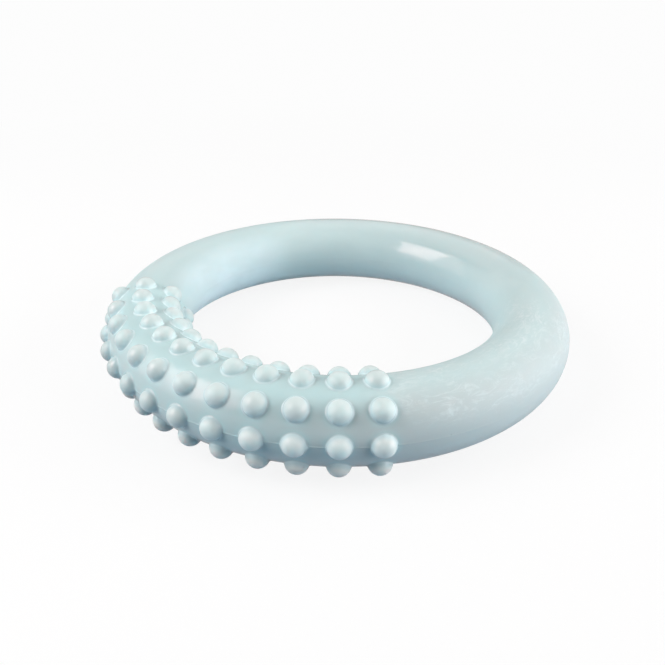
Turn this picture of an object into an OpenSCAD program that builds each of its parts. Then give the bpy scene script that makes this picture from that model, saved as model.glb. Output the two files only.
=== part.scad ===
// Chew ring for a puppy: a round-section rubber ring with a field of massage nubs on one side.
// The ring lies flat, its axis is +Z through the origin, and the middle of the nub field points along -Y.
// Each nub is a plug of whiter rubber: a ball-shaped dome on a root that sits in a socket in the ring.

/* [Ring] */
// Outside diameter of the ring over its smooth side
ring_outer_d = 120; // [100:1:160]
// Thickness of the ring's round section
ring_section_d = 19; // [18:0.2:26]
// Width of the bead that the mould leaves along its parting line
parting_bead_w = 0.4; // [0.2:0.1:1]
// Height of that bead above the ring
parting_bead_h = 0.12; // [0.04:0.02:0.2]

/* [Nubs] */
// Diameter of the ball that shapes a nub's dome
nub_ball_d = 5.4; // [4:0.1:5.8]
// Height of a nub's tip above the ring
nub_h = 2.2; // [1.2:0.1:2.8]
// Number of nubs along the ring in each row
nub_columns = 12; // [1:1:20]
// Distance from one nub to the next in a row, along the centre line of the ring's section
nub_pitch = 7.6; // [7:0.1:9]

/* [Roots] */
// Diameter of a nub's root
root_d = 2.6; // [1.6:0.1:3.2]
// Depth of a root below the ring's surface
root_depth = 2.6; // [1:0.1:4]
// Clearance all round a root in its socket
root_gap = 0.04; // [0.02:0.01:0.1]

/* [Hidden] */
$fn = 96;
section_r = ring_section_d / 2;
// Radius of the circle that the centre of the section follows
ring_r = ring_outer_d / 2 - section_r;
bead_r = parting_bead_w / 2;
// Distance of a bead's own centre from the centre of the section
bead_reach = section_r + parting_bead_h - bead_r;
ball_r = nub_ball_d / 2;
// Distances from the centre of the section, along a nub's axis
ball_reach = section_r + nub_h - ball_r;
root_end = section_r - root_depth;
// A root runs on up into its dome, so that the two are one plug
root_top = section_r + nub_h / 2;
root_r = root_d / 2;
socket_r = root_r + root_gap;
socket_end = root_end - root_gap;
// The cutter of a socket runs on past the tip of the nub that it holds
socket_top = section_r + nub_h;
middle_of_field = -90;
full_turn = 360;
quarter_turn = 90;
// Turn about the ring's axis from one column to the next
column_step = full_turn * nub_pitch / (2 * PI * ring_r);

// Rows stand around the whole section, counted from the outside edge over the top, and each is a node
ROWS = ["nubs_outer", "nubs_outer_upper", "nubs_top", "nubs_inner_upper",
        "nubs_inner", "nubs_inner_lower", "nubs_bottom", "nubs_outer_lower"];
row_step = full_turn / len(ROWS);

ring_colour = [0.68, 0.84, 0.87];
nub_colour = [0.90, 0.93, 0.92];

// Angle about the ring's axis at which a column stands
function column_angle(column) = middle_of_field + (column - (nub_columns - 1) / 2) * column_step;

// Puts its children at one place of the nub field, with local +Z pointing out along the nub's axis
module at_nub(row, column) {
    rotate([0, 0, column_angle(column)])
        translate([ring_r, 0, 0])
            rotate([0, quarter_turn - row * row_step, 0])
                children();
}

// A round bar along local +Z
module bar(r, from, to) {
    translate([0, 0, from])
        cylinder(r = r, h = to - from);
}

// The ring without its sockets: the round section and its two parting beads, turned about the ring's axis
module ring_form() {
    rotate_extrude()
        translate([ring_r, 0])
            union() {
                circle(r = section_r);
                for (side = [-1, 1])
                    translate([side * bead_reach, 0])
                        circle(r = bead_r);
            }
}

// What is taken out of the ring for one nub's root
module socket() {
    bar(socket_r, socket_end, socket_top);
}

// The ball that shapes the dome of one nub
module nub_ball() {
    translate([0, 0, ball_reach])
        sphere(r = ball_r);
}

module nub_root() {
    bar(root_r, root_end, root_top);
}

// The nubs of one row: each dome is cut to the ring that it sits on, and stands on its root
module nub_row(row) {
    union() {
        difference() {
            for (column = [0 : nub_columns - 1])
                at_nub(row, column)
                    nub_ball();
            ring_form();
        }
        for (column = [0 : nub_columns - 1])
            at_nub(row, column)
                nub_root();
    }
}

module ring_body() {
    color(ring_colour)
        difference() {
            ring_form();
            for (row = [0 : len(ROWS) - 1])
                for (column = [0 : nub_columns - 1])
                    at_nub(row, column)
                        socket();
        }
}

// One module for each row, with its place in ROWS
module nubs_outer() color(nub_colour) nub_row(0);
module nubs_outer_upper() color(nub_colour) nub_row(1);
module nubs_top() color(nub_colour) nub_row(2);
module nubs_inner_upper() color(nub_colour) nub_row(3);
module nubs_inner() color(nub_colour) nub_row(4);
module nubs_inner_lower() color(nub_colour) nub_row(5);
module nubs_bottom() color(nub_colour) nub_row(6);
module nubs_outer_lower() color(nub_colour) nub_row(7);

ring_body();
nubs_outer();
nubs_outer_upper();
nubs_top();
nubs_inner_upper();
nubs_inner();
nubs_inner_lower();
nubs_bottom();
nubs_outer_lower();
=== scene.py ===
from math import cos, pi, radians, sin, tan

import bpy
import numpy as np
from mathutils import Matrix, Quaternion, Vector


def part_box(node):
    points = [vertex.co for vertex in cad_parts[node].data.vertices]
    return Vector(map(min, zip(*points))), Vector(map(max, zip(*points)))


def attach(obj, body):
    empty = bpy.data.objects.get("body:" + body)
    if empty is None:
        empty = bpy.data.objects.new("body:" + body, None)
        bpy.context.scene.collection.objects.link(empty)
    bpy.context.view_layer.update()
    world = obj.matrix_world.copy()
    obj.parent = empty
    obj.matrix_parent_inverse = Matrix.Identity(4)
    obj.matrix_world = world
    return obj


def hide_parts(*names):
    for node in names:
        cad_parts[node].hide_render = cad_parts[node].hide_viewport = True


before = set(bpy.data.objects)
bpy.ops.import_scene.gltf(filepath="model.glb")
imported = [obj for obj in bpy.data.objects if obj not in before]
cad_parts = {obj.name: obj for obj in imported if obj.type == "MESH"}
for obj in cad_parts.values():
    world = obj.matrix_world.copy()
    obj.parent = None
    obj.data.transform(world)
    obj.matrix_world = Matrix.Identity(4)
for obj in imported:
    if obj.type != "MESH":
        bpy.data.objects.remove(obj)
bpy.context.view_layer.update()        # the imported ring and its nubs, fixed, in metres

mm = 0.001

# What the frame says of the ring: it is as high as its section, and the parting bead stands out sideways
ring = {
    "beadHeight": 0.12 * mm,      # of the bead on the CAD's ring
    "sectionRadius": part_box("ring_body")[1].z,
}
ring["radius"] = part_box("ring_body")[1].x - ring["beadHeight"] - ring["sectionRadius"]
print("ring found: radii in mm", round(ring["radius"] / mm, 2), "and", round(ring["sectionRadius"] / mm, 2))


# Direction away from the ring's axis at an angle round it, and the way up, as arrays of vectors
def outward(around):
    return np.stack([np.cos(around), np.sin(around), np.zeros_like(around)], -1)


up = np.array([0.0, 0.0, 1.0])


# Distance of points from the smooth ring: how far they lie from the circle in the middle of its section,
# less the section's radius
def aboveRing(points):
    across = np.hypot(points[..., 0], points[..., 1]) - ring["radius"]
    return np.hypot(across, points[..., 2]) - ring["sectionRadius"]


# Direction straight out of the ring at points near it: away from the nearest point of that circle
def ringNormal(points):
    across = np.hypot(points[..., 0], points[..., 1])
    nearest = points[..., :2] / across[..., None] * ring["radius"]
    away = np.concatenate([points[..., :2] - nearest, points[..., 2:]], -1)
    return away / np.linalg.norm(away, axis=-1, keepdims=True)


# Puts points and a list of faces into a new mesh object, shaded smooth
def meshPiece(name, points, faces):
    mesh = bpy.data.meshes.new(name)
    mesh.from_pydata(points.reshape(-1, 3).tolist(), [], faces)
    mesh.validate()
    mesh.polygons.foreach_set("use_smooth", np.ones(len(mesh.polygons), bool))
    mesh.update()
    piece = bpy.data.objects.new(name, mesh)
    bpy.context.scene.collection.objects.link(piece)
    return piece


# The nubs' form, and where they stand: columns along the ring about the -Y side, rows round its section
nub = {
    "columns": 12,
    "pitch": 7.6 * mm,            # along the circle in the middle of the section
    "ballRadius": 2.69 * mm,
    "inside": 0.01 * mm,          # how much lower than the CAD's domes the tallest one is
    "footFillet": 0.42 * mm,      # rounding where a dome meets the ring
    "footDepth": 0.05 * mm,       # how far the foot's rim dips under the ring's surface
    "rootTop": 0.20 * mm,         # depth under that surface at which the root begins
    "rootRadius": 1.3 * mm,
    "rootDepth": 2.6 * mm,
    "wander": 0.07 * mm,          # how far a nub strays from its place in the grid
    "shrink": 0.05 * mm,          # how much lower than the others a nub may be
    "spurLength": 0.55 * mm,      # flash beside a nub that the parting line crosses, at most
    "spurHeight": 0.80 * mm,
    "spurDepth": 0.10 * mm,       # how far it goes on under the ring's surface
    "spurWidth": 0.13,            # as the sine of the turn about the nub's axis
    "seed": 11,
    "turns": 44,                  # points round a nub
    "domeSteps": 13,
    "filletSteps": 6,
    "widestLean": 0.7 * pi,       # the fillet is sought from the dome's tip down to this angle
    "halvings": 30,
    "rows": ["nubs_outer", "nubs_outer_upper", "nubs_top", "nubs_inner_upper",
             "nubs_inner", "nubs_inner_lower", "nubs_bottom", "nubs_outer_lower"],
}
nub["height"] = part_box("nubs_top")[1].z - ring["sectionRadius"] - nub["inside"]
nub["step"] = nub["pitch"] / ring["radius"]
nub["angles"] = -pi / 2 + (np.arange(nub["columns"]) - (nub["columns"] - 1) / 2) * nub["step"]

skin = {
    "stepsAround": 640,
    "stepsSection": 120,
    "beadSteps": 14,              # extra points across each bead
    "beadSpan": 1.6,              # how far these reach, in half widths of the bead
    "beadHeight": 0.04 * mm,
    "beadHalfWidth": 0.24 * mm,
    "flashGain": 1.8,             # how much taller the bead grows beside a nub,
    "flashSpread": 0.5,           # how much wider,
    "flashReach": 0.55 * mm,      # and over what length
    "faint": 0.4,                 # height of the bead far from the nubs, as a share of that beside them
    "faintReach": 22 * mm,
    "glowReach": 0.9 * mm,        # how far a nub's foot lightens the ring beside it
    "waveHeight": 0.022 * mm,
    "waves": [(5, 2, 0.4), (9, -3, 1.1), (14, 1, 2.3), (22, 4, 0.7), (31, -2, 4.0)],
}


# Height of the bead at the parting line: a raised cosine across the line, taller and wider beside a nub by a
# bell curve of the distance to it, and fainter far from the field
def beadHeight(around, section):
    gap = np.abs(around[..., None] - nub["angles"]).min(-1) * ring["radius"]
    offNub = gap - nub["ballRadius"] - nub["footFillet"]
    flash = np.exp(-(np.maximum(offNub, 0) / skin["flashReach"]) ** 2)
    fromMiddle = np.arccos(np.cos(around - nub["angles"].mean()))
    fromField = np.maximum(fromMiddle - np.ptp(nub["angles"]) / 2, 0) * ring["radius"]
    near = np.exp(-(fromField / skin["faintReach"]) ** 2)
    height = skin["beadHeight"] * (skin["faint"] + (1 - skin["faint"]) * near + skin["flashGain"] * flash)
    halfWidth = skin["beadHalfWidth"] * (1 + skin["flashSpread"] * flash)
    offLine = ring["sectionRadius"] * np.abs(np.arcsin(np.sin(section)))
    return height * np.where(offLine < halfWidth, 0.5 + 0.5 * np.cos(pi * offLine / halfWidth), 0)


# How strongly a nub's foot lightens the ring: 1 under the nub, falling off as a bell curve of the distance
# from its rim, measured along the surface from the nearest place of the nub grid
def footGlow(around, section):
    fromFirst = around - nub["angles"][0]
    column = (fromFirst / nub["step"]).round().clip(0, nub["columns"] - 1)
    fromAxis = ring["radius"] + ring["sectionRadius"] * np.cos(section)
    alongRing = (fromFirst - column * nub["step"]) * fromAxis
    rowStep = 2 * pi / len(nub["rows"])
    alongSection = (section - (section / rowStep).round() * rowStep) * ring["sectionRadius"]
    offRim = np.hypot(alongRing, alongSection) - nub["ballRadius"]
    return np.exp(-(np.maximum(offRim, 0) / skin["glowReach"]) ** 2)


# The ring's skin, a circle carried round a circle: a point lies outward by the ring's radius plus the reach
# times the cosine of the turn round the section, and up by the reach times its sine. The reach is the
# section's radius, plus the bead's height, less a slow wave that is never negative
def buildSkin():
    beadAngle = skin["beadSpan"] * skin["beadHalfWidth"] / ring["sectionRadius"]
    fine = np.linspace(-beadAngle, beadAngle, skin["beadSteps"], endpoint=False)
    coarse = np.linspace(beadAngle, pi - beadAngle, skin["stepsSection"] // 2, endpoint=False)
    section = np.concatenate([fine, coarse, fine + pi, coarse + pi])
    around = np.linspace(-pi, pi, skin["stepsAround"], endpoint=False)
    around, section = np.meshgrid(around, section, indexing="ij")
    wave = sum(np.sin(a * around + b * section + c) for a, b, c in skin["waves"]) / len(skin["waves"])
    reach = ring["sectionRadius"] + beadHeight(around, section) - skin["waveHeight"] * (1 - wave) / 2
    points = (outward(around) * (ring["radius"] + reach * np.cos(section))[..., None]
              + up * (reach * np.sin(section))[..., None])
    index = np.arange(around.size).reshape(around.shape)
    beside = np.roll(index, -1, 0)
    faces = np.stack([index, beside, np.roll(beside, -1, 1), np.roll(index, -1, 1)], -1)
    piece = meshPiece("ring_skin", points, faces.reshape(-1, 4).tolist())
    glow = piece.data.attributes.new("footGlow", "FLOAT", "POINT")
    glow.data.foreach_set("value", footGlow(around, section).reshape(-1))
    return piece


# Where the nubs of a row stand, each a little off its place in the grid: the point of the ring's centre line
# under a nub, its axis straight out of the ring, and the directions along the ring and along the section
def nubPlaces(row, chance):
    def stray(radius):
        return chance.normal(0, 1, nub["columns"]).clip(-1, 1) * nub["wander"] / radius

    around = nub["angles"] + stray(ring["radius"])
    section = 2 * pi * row / len(nub["rows"]) + stray(ring["sectionRadius"])
    out, across, rise = outward(around), np.cos(section)[:, None], np.sin(section)[:, None]
    axis = out * across + up * rise
    alongSection = up * across - out * rise
    return out * ring["radius"], axis, np.cross(alongSection, axis), alongSection


# One row of nubs. A dome is a ball about a point on the nub's axis; it meets the ring in a rounding that a
# small ball would leave by rolling in the corner: the small ball touches the dome from outside and lies its
# own radius above the ring. Its place is found by halving the angle down the dome. Below, the foot dips just
# under the ring's surface, and the plug's root closes the shape
def buildNubRow(name, row, chance):
    count, turns = nub["columns"], nub["turns"]
    heart, axis, alongRing, alongSection = nubPlaces(row, chance)
    height = nub["height"] - chance.random(count) * nub["shrink"]
    spin = np.linspace(0, 2 * pi, turns, endpoint=False)
    # nubs down the first axis of the arrays, turns down the second
    side = alongRing[:, None] * np.cos(spin)[:, None] + alongSection[:, None] * np.sin(spin)[:, None]
    axis = np.repeat(axis[:, None], turns, 1)
    heart = heart[:, None]
    ball, fillet = nub["ballRadius"], nub["footFillet"]
    ballHeart = heart + axis * (ring["sectionRadius"] + height - ball)[:, None, None]

    def lean(angle):
        return axis * np.cos(angle)[..., None] + side * np.sin(angle)[..., None]

    low, high = np.zeros((count, turns)), np.full((count, turns), nub["widestLean"])
    for halving in range(nub["halvings"]):
        angle = (low + high) / 2
        outside = aboveRing(ballHeart + (ball + fillet) * lean(angle)) > fillet
        low, high = np.where(outside, angle, low), np.where(outside, high, angle)
    filletHeart = ballHeart + (ball + fillet) * lean(low)

    # rings of points down the dome, round the fillet from dome to ring, under the rim and down the root
    rings = [ballHeart + ball * lean(low * share) for share in np.linspace(0, 1, nub["domeSteps"] + 1)[1:]]
    start, end = -lean(low), -ringNormal(filletHeart)
    sweep = np.arccos((start * end).sum(-1).clip(-1, 1))[..., None]
    for share in np.linspace(0, 1, nub["filletSteps"] + 1)[1:]:
        turned = (start * np.sin((1 - share) * sweep) + end * np.sin(share * sweep)) / np.sin(sweep)
        rings.append(filletHeart + fillet * turned)
    rings.append(rings[-1] + (end + side) * nub["footDepth"])
    for depth in (nub["rootTop"], nub["rootDepth"]):
        rings.append(heart + axis * (ring["sectionRadius"] - depth) + side * nub["rootRadius"])
    body = np.stack(rings, 1)                       # nub, ring, turn
    if row % (len(nub["rows"]) // 2) == 0:          # the rows that the parting line crosses
        body = body + spurs(body, spin, chance)[..., None] * alongRing[:, None, None]

    tip = ballHeart[:, :1] + ball * axis[:, :1]
    rootEnd = heart + axis[:, :1] * (ring["sectionRadius"] - nub["rootDepth"])
    points = np.concatenate([tip, body.reshape(count, -1, 3), rootEnd], 1)
    return meshPiece(name + "_domes", points, nubFaces(count, len(rings), turns))


# Flash where the parting line crosses a row: thin fins at both sides of a nub, highest at the ring and of
# chance length. Gives how far each point moves along the ring
def spurs(body, spin, chance):
    above = aboveRing(body)
    low = np.where(above > -nub["spurDepth"], 1 - above / nub["spurHeight"], 0).clip(0, 1)
    lengths = nub["spurLength"] * chance.random((len(body), 1, 2)) ** 2
    length = np.where(np.cos(spin) > 0, lengths[..., :1], -lengths[..., 1:])
    return low * length * np.exp(-(np.sin(spin) / nub["spurWidth"]) ** 2)


# Faces of alike nubs whose points lie one after the other: bands of four corners between the rings of points,
# and a fan of three at the tip and at the root's end
def nubFaces(count, bands, turns):
    perNub = bands * turns + 2
    index = 1 + np.arange(bands * turns).reshape(bands, turns)
    beside = np.roll(index, -1, 1)
    quads = np.stack([index[:-1], index[1:], beside[1:], beside[:-1]], -1).reshape(-1, 4)
    tipFan = np.stack([np.zeros(turns, int), index[0], beside[0]], -1)
    rootFan = np.stack([np.full(turns, perNub - 1), beside[-1], index[-1]], -1)
    first = np.arange(count)[:, None, None] * perNub
    faces = []
    for group in (quads, tipFan, rootFan):
        faces += (group[None] + first).reshape(-1, group.shape[1]).tolist()
    return faces


# A socket of a shader tree: an expression on it adds Math nodes
class Wire:
    def __init__(self, tree, socket=None):
        self.tree, self.socket = tree, socket

    # Any node: its settings first, then the values or links of its sockets. Gives one of its outputs
    def node(self, kind, settings, inputs, output=0):
        made = self.tree.nodes.new(kind)
        for key, value in settings.items():
            setattr(made, key, value)
        for key, value in inputs.items():
            if isinstance(value, Wire):
                self.tree.links.new(value.socket, made.inputs[key])
            else:
                made.inputs[key].default_value = value
        return Wire(self.tree, made.outputs[output])

    # Another output of the node that this one is an output of
    def beside(self, output):
        return Wire(self.tree, self.socket.node.outputs[output])

    def maths(self, operation, *others):
        return self.node("ShaderNodeMath", {"operation": operation}, dict(enumerate((self, *others))))

    def __add__(self, other):
        return self.maths("ADD", other)

    def __sub__(self, other):
        return self.maths("SUBTRACT", other)

    def __rsub__(self, other):
        return self.node("ShaderNodeMath", {"operation": "SUBTRACT"}, {0: other, 1: self})

    def __mul__(self, other):
        return self.maths("MULTIPLY", other)

    def __truediv__(self, other):
        return self.maths("DIVIDE", other)

    __radd__, __rmul__ = __add__, __mul__

    # 0 at low, 1 at high, and a smooth step between
    def step(self, low, high):
        return self.node("ShaderNodeMapRange", {"interpolation_type": "SMOOTHSTEP"},
                         {"Value": self, "From Min": low, "From Max": high})

    # Colour a where self is 0 and colour b where it is 1
    def mix(self, a, b):
        return self.node("ShaderNodeMix", {"data_type": "RGBA"}, {0: self, 6: a, 7: b}, 2)


# Empties the shader tree of a material or a world, and gives a wire to begin from
def emptyTree(owner):
    owner.use_nodes = True
    owner.node_tree.nodes.clear()
    return Wire(owner.node_tree)


# Ends a shader tree in its output node
def endTree(shader, kind):
    out = shader.tree.nodes.new(kind)
    shader.tree.links.new(shader.socket, out.inputs["Surface"])


# A place on the ring as the shader reads it, from Object coordinates: the direction round the ring, how far
# above its surface, and how far out from its centre line and up, both in radii of the section
class RingPlace:
    def __init__(self, start):
        self.start = start
        self.object = start.node("ShaderNodeTexCoord", {}, {}, "Object")
        x = start.node("ShaderNodeSeparateXYZ", {}, {0: self.object})
        y, self.z = x.beside(1), x.beside(2)
        fromAxis = (x * x + y * y).maths("SQRT")
        self.cosAround, self.sinAround = x / fromAxis, y / fromAxis
        self.across = fromAxis - ring["radius"]
        self.above = (self.across * self.across + self.z * self.z).maths("SQRT") - ring["sectionRadius"]
        self.outRadii = self.across / ring["sectionRadius"]
        self.upRadii = self.z / ring["sectionRadius"]

    # Cosine of the turn round the ring from this angle
    def towards(self, angle):
        return self.cosAround * cos(angle) + self.sinAround * sin(angle)

    # Noise that runs round the ring with no seam, drawn out along it: features are about `along` by `across`
    def noise(self, along, across, detail=2.0, roughness=0.5, seed=0.0, distortion=0.0):
        turn = ring["radius"] / along
        place = self.start.node("ShaderNodeCombineXYZ", {}, {
            0: self.across / across + seed, 1: self.z / across, 2: self.cosAround * turn})
        return self.start.node("ShaderNodeTexNoise", {"noise_dimensions": "4D"}, {
            "Vector": place, "W": self.sinAround * turn, "Scale": 1.0, "Detail": detail,
            "Roughness": roughness, "Distortion": distortion})

    # Noise alike in every direction, with features of about one size
    def grain(self, size, detail=2.0, roughness=0.5):
        return self.start.node("ShaderNodeTexNoise", {"noise_dimensions": "3D"}, {
            "Vector": self.object, "Scale": 1 / size, "Detail": detail, "Roughness": roughness})


# A rubber: a glossy and a matt shader of one colour and relief, mixed by how far the place is rubbed. There
# are two because one shader whose roughness runs from glossy to matt shows a seam in the denoised picture
def rubber(name, look, dress):
    material = bpy.data.materials.new(name)
    start = emptyTree(material)
    colour, roughness, relief, rubbed = dress(RingPlace(start), look)
    normal = start.node("ShaderNodeBump", {}, {"Strength": 1.0, "Distance": 1.0, "Height": relief})
    shared = {"Base Color": colour, "Normal": normal, "IOR": look["refraction"]}
    glossy = start.node("ShaderNodeBsdfPrincipled", {}, {**look["glossy"], **shared, "Roughness": roughness})
    matt = start.node("ShaderNodeBsdfPrincipled", {}, {**look["matt"], **shared})
    both = start.node("ShaderNodeMixShader", {}, {0: rubbed, 1: glossy, 2: matt})
    endTree(both, "ShaderNodeOutputMaterial")
    return material


# Where each finish lies. A value whose name ends in Side is an angle round the ring, one in Turn the cosines
# of the turn from there, one in Out or Up how far out or up on the section, in its radii, and one in Edge the
# level of the noise. A finish begins at the first value of a pair and is full at the second
ringFinish = {
    "blue": (0.56, 0.715, 0.72, 1),
    "milk": (0.62, 0.765, 0.765, 1),      # paler clouds in the rubber
    "milkNoise": {"along": 22 * mm, "across": 9 * mm, "detail": 3, "distortion": 0.6},
    "milkEdge": (0.38, 0.68),
    "milkShare": 0.6,
    "patchNoise": {"along": 14 * mm, "across": 7 * mm, "detail": 3, "seed": 7.3},
    "patchEdge": (0.36, 0.62),
    "pale": (0.74, 0.895, 0.925, 1),      # painted light: a paler part of the inner wall, where light from the right and from the floor falls
    "paleSide": radians(186),
    "paleTurn": (0.78, 1.0),
    "paleOut": (-0.3, -0.9),
    "palePatchy": 0.3,
    "handledSide": radians(-8),           # the side that hands hold
    "dusty": (0.585, 0.665, 0.665, 1),    # its outer wall, greyer: a painted grazing reflection
    "dustyTurn": (0.45, 0.90),
    "dustyOut": (0.1, 0.8),
    "dustyShare": 0.85,
    "scuff": (0.76, 0.86, 0.865, 1),      # its whitish smears, which carry the painted sheen of the lamp on the right
    "scuffTurn": (0.72, 0.93),
    "scuffUp": (0.0, 0.60),
    "scuffNoise": {"along": 4.2 * mm, "across": 1.8 * mm, "detail": 5, "roughness": 0.72, "seed": 3.1,
                   "distortion": 1.6},
    "scuffEdge": (0.44, 0.72),
    "scuffPatchy": 0.7,
    "scuffShare": 0.85,
    "scuffElsewhere": 0.03,
    "scuffRelief": 0.004 * mm,
    "lit": (0.54, 0.82, 0.84, 1),         # beside a nub's foot, and less so all over the field's upper side
    "litShare": 0.5,
    "fieldSide": radians(-90),
    "fieldTurn": (0.60, 0.75),
    "fieldUp": (0.50, 0.90),
    "fieldShare": 0.45,
    "speck": (0.36, 0.42, 0.40, 1),       # a few dark specks
    "speckApart": 7.5 * mm,
    "speckSize": (0.012, 0.035),          # as shares of that distance
    "speckPatches": 30 * mm,
    "speckEdge": (0.50, 0.56),
    "speckShare": 0.3,
    "glossSide": radians(97),             # the ring is glossy there and opposite, and rubbed matt between
    "rubbedTurn": (0.25, 0.75),           # in squares of the cosine, from matt to glossy
    "glossRoughness": (0.10, 0.20),       # at that side and opposite, between the nubs
    "dullNoise": {"along": 16 * mm, "across": 8 * mm, "detail": 3, "roughness": 0.6, "seed": 5.4},
    "dullEdge": (0.40, 0.62),
    "dullRoughness": 0.04,
    "rippleNoise": {"along": 6 * mm, "across": 2.2 * mm, "detail": 2, "seed": 1.7},
    "rippleRelief": 0.024 * mm,
    "fineGrain": {"size": 0.5 * mm, "detail": 2, "roughness": 0.6},
    "fineRelief": (0.003 * mm, 0.010 * mm),   # at that side and opposite too
    "refraction": 1.52,
    "glossy": {"Specular Tint": (1.0, 0.74, 0.72, 1), "Subsurface Weight": 0.25,
               "Subsurface Radius": (0.5, 0.9, 1.0), "Subsurface Scale": 1.2 * mm},
    "matt": {"Specular IOR Level": 0.3, "Roughness": 0.5, "Subsurface Weight": 0.25,
             "Subsurface Radius": (0.5, 0.9, 1.0), "Subsurface Scale": 1.2 * mm},
}


def ringDress(place, look):
    cloud = place.noise(**look["milkNoise"]).step(*look["milkEdge"])
    colour = (cloud * look["milkShare"]).mix(look["blue"], look["milk"])

    patch = place.noise(**look["patchNoise"]).step(*look["patchEdge"])
    # Painted light on the inner wall, uneven in patches
    paintedInnerLight = place.towards(look["paleSide"]).step(*look["paleTurn"]) * place.outRadii.step(*look["paleOut"])
    patchy = patch * look["palePatchy"] + (1 - look["palePatchy"])
    colour = (paintedInnerLight * patchy).mix(colour, look["pale"])

    towardsHands = place.towards(look["handledSide"])
    # Painted reflection: the outer wall on that side is greyed as a grazing reflection would grey it
    paintedRimReflection = towardsHands.step(*look["dustyTurn"]) * place.outRadii.step(*look["dustyOut"])
    colour = (paintedRimReflection * look["dustyShare"]).mix(colour, look["dusty"])

    # Whitish smears on the handled side: a smeared surface, with the right-hand lamp's sheen painted into its
    # colour
    handled = towardsHands.step(*look["scuffTurn"]) * place.upRadii.step(*look["scuffUp"])
    wisp = place.noise(**look["scuffNoise"]).step(*look["scuffEdge"])
    patchy = patch * look["scuffPatchy"] + (1 - look["scuffPatchy"])
    smearAndSheen = patchy * wisp * (handled * look["scuffShare"] + look["scuffElsewhere"])
    colour = smearAndSheen.mix(colour, look["scuff"])

    glow = place.start.node("ShaderNodeAttribute", {"attribute_name": "footGlow"}, {}, "Fac")
    among = place.towards(look["fieldSide"]).step(*look["fieldTurn"]) * place.upRadii.step(*look["fieldUp"])
    lit = (glow * look["litShare"]).maths("MAXIMUM", among * look["fieldShare"])
    colour = lit.mix(colour, look["lit"])

    dots = place.start.node("ShaderNodeTexVoronoi", {"voronoi_dimensions": "3D"}, {
        "Vector": place.object, "Scale": 1 / look["speckApart"]})
    here = place.grain(look["speckPatches"]).step(*look["speckEdge"])
    speck = (1 - dots.step(*look["speckSize"])) * here
    colour = (speck * look["speckShare"]).mix(colour, look["speck"])

    towardsGloss = place.towards(look["glossSide"])
    rubbed = 1 - (towardsGloss * towardsGloss).step(*look["rubbedTurn"])
    opposite = towardsGloss * -0.5 + 0.5          # 0 at the glossy side, 1 opposite
    thisSide, otherSide = look["glossRoughness"]
    dull = place.noise(**look["dullNoise"]).step(*look["dullEdge"])
    roughness = opposite * (otherSide - thisSide) + thisSide + dull * look["dullRoughness"]

    thisSide, otherSide = look["fineRelief"]
    fine = place.grain(**look["fineGrain"]) * (opposite * (otherSide - thisSide) + thisSide)
    ripple = place.noise(**look["rippleNoise"]) * look["rippleRelief"]
    return colour, roughness, ripple + fine + smearAndSheen * look["scuffRelief"], rubbed


# Named as for the ring. The lengths in a pair are heights above the ring's surface
nubFinish = {
    "footSide": (0.59, 0.755, 0.775, 1),  # clear blue where a dome is thin: at its foot on the ring's side,
    "foot": (0.73, 0.93, 0.95, 1),        # paler between its side and top: painted light that glows through the thin rubber,
    "footUp": (0.25, 0.55),
    "footTop": (0.65, 0.85, 0.87, 1),     # on its top, also paler than at the side: painted light
    "topUp": (0.80, 1.0),
    "footLow": (0.53, 0.66, 0.665, 1),    # and darker on the lower rows: painted shade
    "lowUp": (-0.25, -0.70),
    "top": (0.67, 0.785, 0.775, 1),       # caps on the upper and inner rows: one white rubber, its colour by row painted light and shade,
    "side": (0.62, 0.71, 0.70, 1),        # darker on the outer rows: painted shade,
    "sideOut": (0.6, 1.15),
    "sideClean": (0.75, 0.845, 0.825, 1), # paler on these at one end of the field: painted light,
    "cleanSide": radians(-42),
    "cleanTurn": (0.45, 0.95),
    "cleanFoot": 0.8,                     # how far the feet there keep the colour of the ring's side, without the painted glow
    "capLow": (0.80, 0.815, 0.765, 1),    # and on the lower rows, paler and warmer: painted light offsetting the blue light from below
    "cap": (0.30 * mm, 1.50 * mm),        # from the foot's colour to the cap's
    "brim": (0.78, 0.98, 1.0, 1),         # a painted highlight: a pale line where a nub that faces up meets the ring
    "brimStart": (0.02 * mm, 0.10 * mm),
    "brimEnd": (0.34 * mm, 0.20 * mm),
    "brimShare": 0.8,
    "matted": (0.30 * mm, 0.90 * mm),     # from the glossy foot to the matt skin
    "wornGrain": {"size": 8 * mm, "detail": 0},
    "wornEdge": (0.52, 0.60),
    "wornShare": 0.70,                    # how far the matt skin is worn off some of the nubs
    "unevenSize": 2.5 * mm,
    "unevenHeight": 0.5 * mm,             # how unevenly the blue ends
    "unevenRoughness": 0.06,
    "roughness": 0.13,
    "fineGrain": {"size": 0.35 * mm, "detail": 2, "roughness": 0.6},
    "fineRelief": 0.0016 * mm,
    "refraction": 1.52,
    "glossy": {"Specular Tint": (1.0, 0.74, 0.72, 1), "Subsurface Weight": 0.15,
               "Subsurface Radius": (0.8, 1.0, 1.0), "Subsurface Scale": 0.8 * mm},
    "matt": {"Specular IOR Level": 0.4, "Roughness": 0.42, "Subsurface Weight": 1.0,
             "Subsurface Radius": (0.8, 1.0, 1.0), "Subsurface Scale": 2.2 * mm},
}


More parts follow.
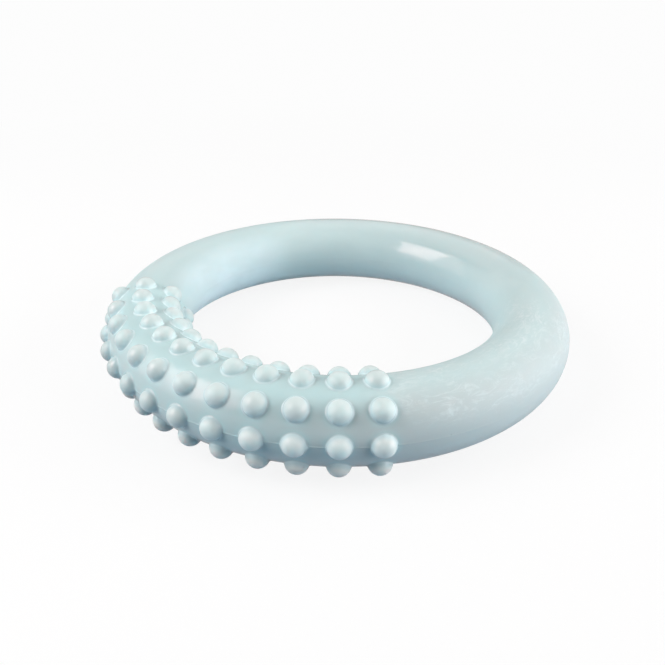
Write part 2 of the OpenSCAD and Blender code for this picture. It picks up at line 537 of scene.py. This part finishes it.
def nubDress(place, look):
    # Painted light: the outer caps paler towards one end of the field
    litEnd = place.towards(look["cleanSide"]).step(*look["cleanTurn"])
    upright = place.upRadii.step(*look["topUp"])
    low = place.upRadii.step(*look["lowUp"])
    side = litEnd.mix(look["side"], look["sideClean"])
    # The caps' colour by row is painted light and shade on one white rubber
    cap = place.outRadii.step(*look["sideOut"]).mix(look["top"], side)
    cap = low.mix(cap, look["capLow"])
    # Painted light: the feet paler up the section, as light glowing through thin rubber
    paintedFootGlow = place.upRadii.step(*look["footUp"]) * (1 - litEnd * look["cleanFoot"])
    foot = paintedFootGlow.mix(look["footSide"], look["foot"])
    foot = upright.mix(foot, look["footTop"])
    foot = low.mix(foot, look["footLow"])

    uneven = place.grain(look["unevenSize"])
    height = place.above + (uneven - 0.5) * look["unevenHeight"]
    colour = height.step(*look["cap"]).mix(foot, cap)
    # Painted highlight along the foot of the nubs that face up
    brim = place.above.step(*look["brimStart"]) * place.above.step(*look["brimEnd"]) * upright
    colour = (brim * look["brimShare"]).mix(colour, look["brim"])

    worn = place.grain(**look["wornGrain"]).step(*look["wornEdge"])
    rubbed = height.step(*look["matted"]) * (1 - worn * look["wornShare"])
    roughness = uneven * look["unevenRoughness"] + look["roughness"]
    return colour, roughness, place.grain(**look["fineGrain"]) * look["fineRelief"], rubbed


ringRubber = rubber("ring_rubber", ringFinish, ringDress)
nubRubber = rubber("nub_rubber", nubFinish, nubDress)
print("materials made")


# Dresses the frame: a piece rides on the one body and stands for its CAD node
def dressNode(piece, node, material):
    piece.data.materials.append(material)
    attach(piece, "root")
    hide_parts(node)


dressNode(buildSkin(), "ring_body", ringRubber)
chance = np.random.default_rng(nub["seed"])
for row, node in enumerate(nub["rows"]):
    dressNode(buildNubRow(node, row, chance), node, nubRubber)
print("ring and nubs made")

# The camera stands where the photograph's stood: round the ring, above it, and turned a little off its
# centre. Angles are in degrees, and azimuth runs from -Y towards +X
camera = {
    "azimuth": 38.41,
    "elevation": 26.08,
    "distance": 195.7 * mm,
    "yaw": -0.47,
    "pitch": -1.45,
    "roll": 0.47,
    "sensor": 36,                 # this and the lens in mm, as Blender has them
    "lens": 39.12,
    "nearest": 10 * mm,
}


def direction(azimuth, elevation):
    turn, rise = radians(azimuth), radians(elevation)
    return Vector((sin(turn) * cos(rise), -cos(turn) * cos(rise), sin(rise)))


def placeCamera():
    back = direction(camera["azimuth"], camera["elevation"])
    right = direction(camera["azimuth"] + 90, 0)
    high = right.cross(-back)
    aim = (-back + tan(radians(camera["yaw"])) * right + tan(radians(camera["pitch"])) * high).normalized()
    right = aim.cross(Vector((0, 0, 1))).normalized()
    high = right.cross(aim)
    roll = radians(camera["roll"])
    right, high = right * cos(roll) + high * sin(roll), high * cos(roll) - right * sin(roll)
    data = bpy.data.cameras.new("camera")
    data.sensor_width = camera["sensor"]
    data.lens = camera["lens"]
    data.clip_start = camera["nearest"]
    eye = bpy.data.objects.new("camera", data)
    eye.matrix_world = Matrix((right, high, -aim)).transposed().to_4x4()
    eye.location = back * camera["distance"]
    bpy.context.scene.collection.objects.link(eye)
    bpy.context.scene.camera = eye


placeCamera()

# The floor touches the plain side of the ring and the tips of the bottom nubs, so it slopes a little. A pair
# of lengths gives the distances at which a colour begins and is full
floor = {
    "size": 6.0,                          # metres along each side
    "nubSide": abs(ring["radius"] * sin(nub["angles"][0])),
    "plainSide": ring["radius"],
    "bounce": (0.62, 0.75, 0.86, 1),      # the floor as it lights the ring,
    "bounceFront": (0.27, 0.42, 0.54, 1), # and on the camera's side, where it is darker
    "front": (-70 * mm, 50 * mm),
    "shaded": (0.12, 0.12, 0.12, 1),      # what the eye sees of the light on it, so that a shadow shows,
    "glow": 0.87,                         # and of the floor's own paleness
    "far": (120 * mm, 350 * mm),
}

# All round, and on the far floor: even white to the eye, and to the ring only a dim reflection. It gives no
# light of its own
surround = {
    "white": 0.98,
    "mirrored": (0.50, 0.40, 0.38, 1),
    "unlit": (0, 0, 0, 1),
}


# One shader for the eye, one for reflections and one for every other ray
def byRay(eye, mirror, other):
    isEye = eye.node("ShaderNodeLightPath", {}, {}, "Is Camera Ray")
    reflected = isEye.beside("Is Glossy Ray").maths("MAXIMUM", isEye.beside("Is Transmission Ray"))
    unseen = eye.node("ShaderNodeMixShader", {}, {0: reflected, 1: other, 2: mirror})
    return eye.node("ShaderNodeMixShader", {}, {0: isEye, 1: unseen, 2: eye})


def buildFloor():
    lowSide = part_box("nubs_bottom")[0].z
    slope = (-ring["sectionRadius"] - lowSide) / (floor["nubSide"] + floor["plainSide"])
    height = lowSide + slope * floor["nubSide"]
    x, y = np.array([[-1, 1, 1, -1], [-1, -1, 1, 1]]) * floor["size"] / 2
    piece = meshPiece("floor", np.stack([x, y, height + slope * y], -1), [[0, 1, 2, 3]])
    material = bpy.data.materials.new("floor")
    start = emptyTree(material)
    place = start.node("ShaderNodeTexCoord", {}, {}, "Object")
    far = start.node("ShaderNodeVectorMath", {"operation": "LENGTH"}, {0: place}, "Value").step(*floor["far"])
    near = start.node("ShaderNodeAddShader", {}, {
        0: start.node("ShaderNodeBsdfDiffuse", {}, {"Color": floor["shaded"]}),
        1: start.node("ShaderNodeEmission", {}, {"Strength": floor["glow"]})})
    plain = start.node("ShaderNodeEmission", {}, {"Strength": surround["white"]})
    eye = start.node("ShaderNodeMixShader", {}, {0: far, 1: near, 2: plain})
    mirror = start.node("ShaderNodeEmission", {}, {"Color": surround["mirrored"]})
    front = start.node("ShaderNodeVectorMath", {"operation": "DOT_PRODUCT"}, {
        0: place, 1: direction(camera["azimuth"], 0)}, "Value").step(*floor["front"])
    bounce = front.mix(floor["bounce"], floor["bounceFront"])
    other = start.node("ShaderNodeBsdfDiffuse", {}, {"Color": bounce})
    endTree(byRay(eye, mirror, other), "ShaderNodeOutputMaterial")
    piece.data.materials.append(material)


buildFloor()


def buildSurround():
    world = bpy.data.worlds.new("world")
    bpy.context.scene.world = world
    start = emptyTree(world)
    eye = start.node("ShaderNodeBackground", {}, {"Strength": surround["white"], "Color": (1, 1, 1, 1)})
    mirror = start.node("ShaderNodeBackground", {}, {"Color": surround["mirrored"]})
    other = start.node("ShaderNodeBackground", {}, {"Color": surround["unlit"]})
    endTree(byRay(eye, mirror, other), "ShaderNodeOutputWorld")


buildSurround()

# Soft boxes round the ring. Azimuth is measured from the camera, positive to its right, roll turns a box
# about its line to the ring, and power is in watts
studio = {
    "distance": 0.60,
    "tint": (1, 0.98, 0.98),
    "boxes": {
        "left_box": {"azimuth": -74, "elevation": 38.5, "size": (0.30, 0.435), "roll": 34, "power": 2.10},
        "left_wide": {"azimuth": -80, "elevation": 27, "size": (0.64, 0.50), "roll": 0, "power": 1.48},
        "right_box": {"azimuth": 78, "elevation": 17, "size": (0.62, 0.38), "roll": 0, "power": 3.70},
        "right_high": {"azimuth": 85, "elevation": 60, "size": (0.60, 0.50), "roll": 0, "power": 0.60},
        "right_spot": {"azimuth": 99, "elevation": 34, "size": (0.07, 0.07), "roll": 0, "power": 0.20},
        "back_box": {"azimuth": 180, "elevation": 45, "size": (0.70, 0.50), "roll": 0, "power": 0.75},
        "top_box": {"azimuth": 0, "elevation": 85, "size": (0.70, 0.70), "roll": 0, "power": 0.22},
    },
}


def buildLamps():
    for name, box in studio["boxes"].items():
        away = direction(camera["azimuth"] + box["azimuth"], box["elevation"])
        data = bpy.data.lights.new(name, "AREA")
        data.shape = "RECTANGLE"
        data.size, data.size_y = box["size"]
        data.energy = box["power"]
        data.color = studio["tint"]
        lamp = bpy.data.objects.new(name, data)
        rolled = Quaternion((0, 0, 1), radians(box["roll"]))
        lamp.rotation_euler = (away.to_track_quat("Z", "Y") @ rolled).to_euler()
        lamp.location = away * studio["distance"]
        bpy.context.scene.collection.objects.link(lamp)


buildLamps()
bpy.context.scene.view_settings.view_transform = "Standard"
print("camera, floor and light made")
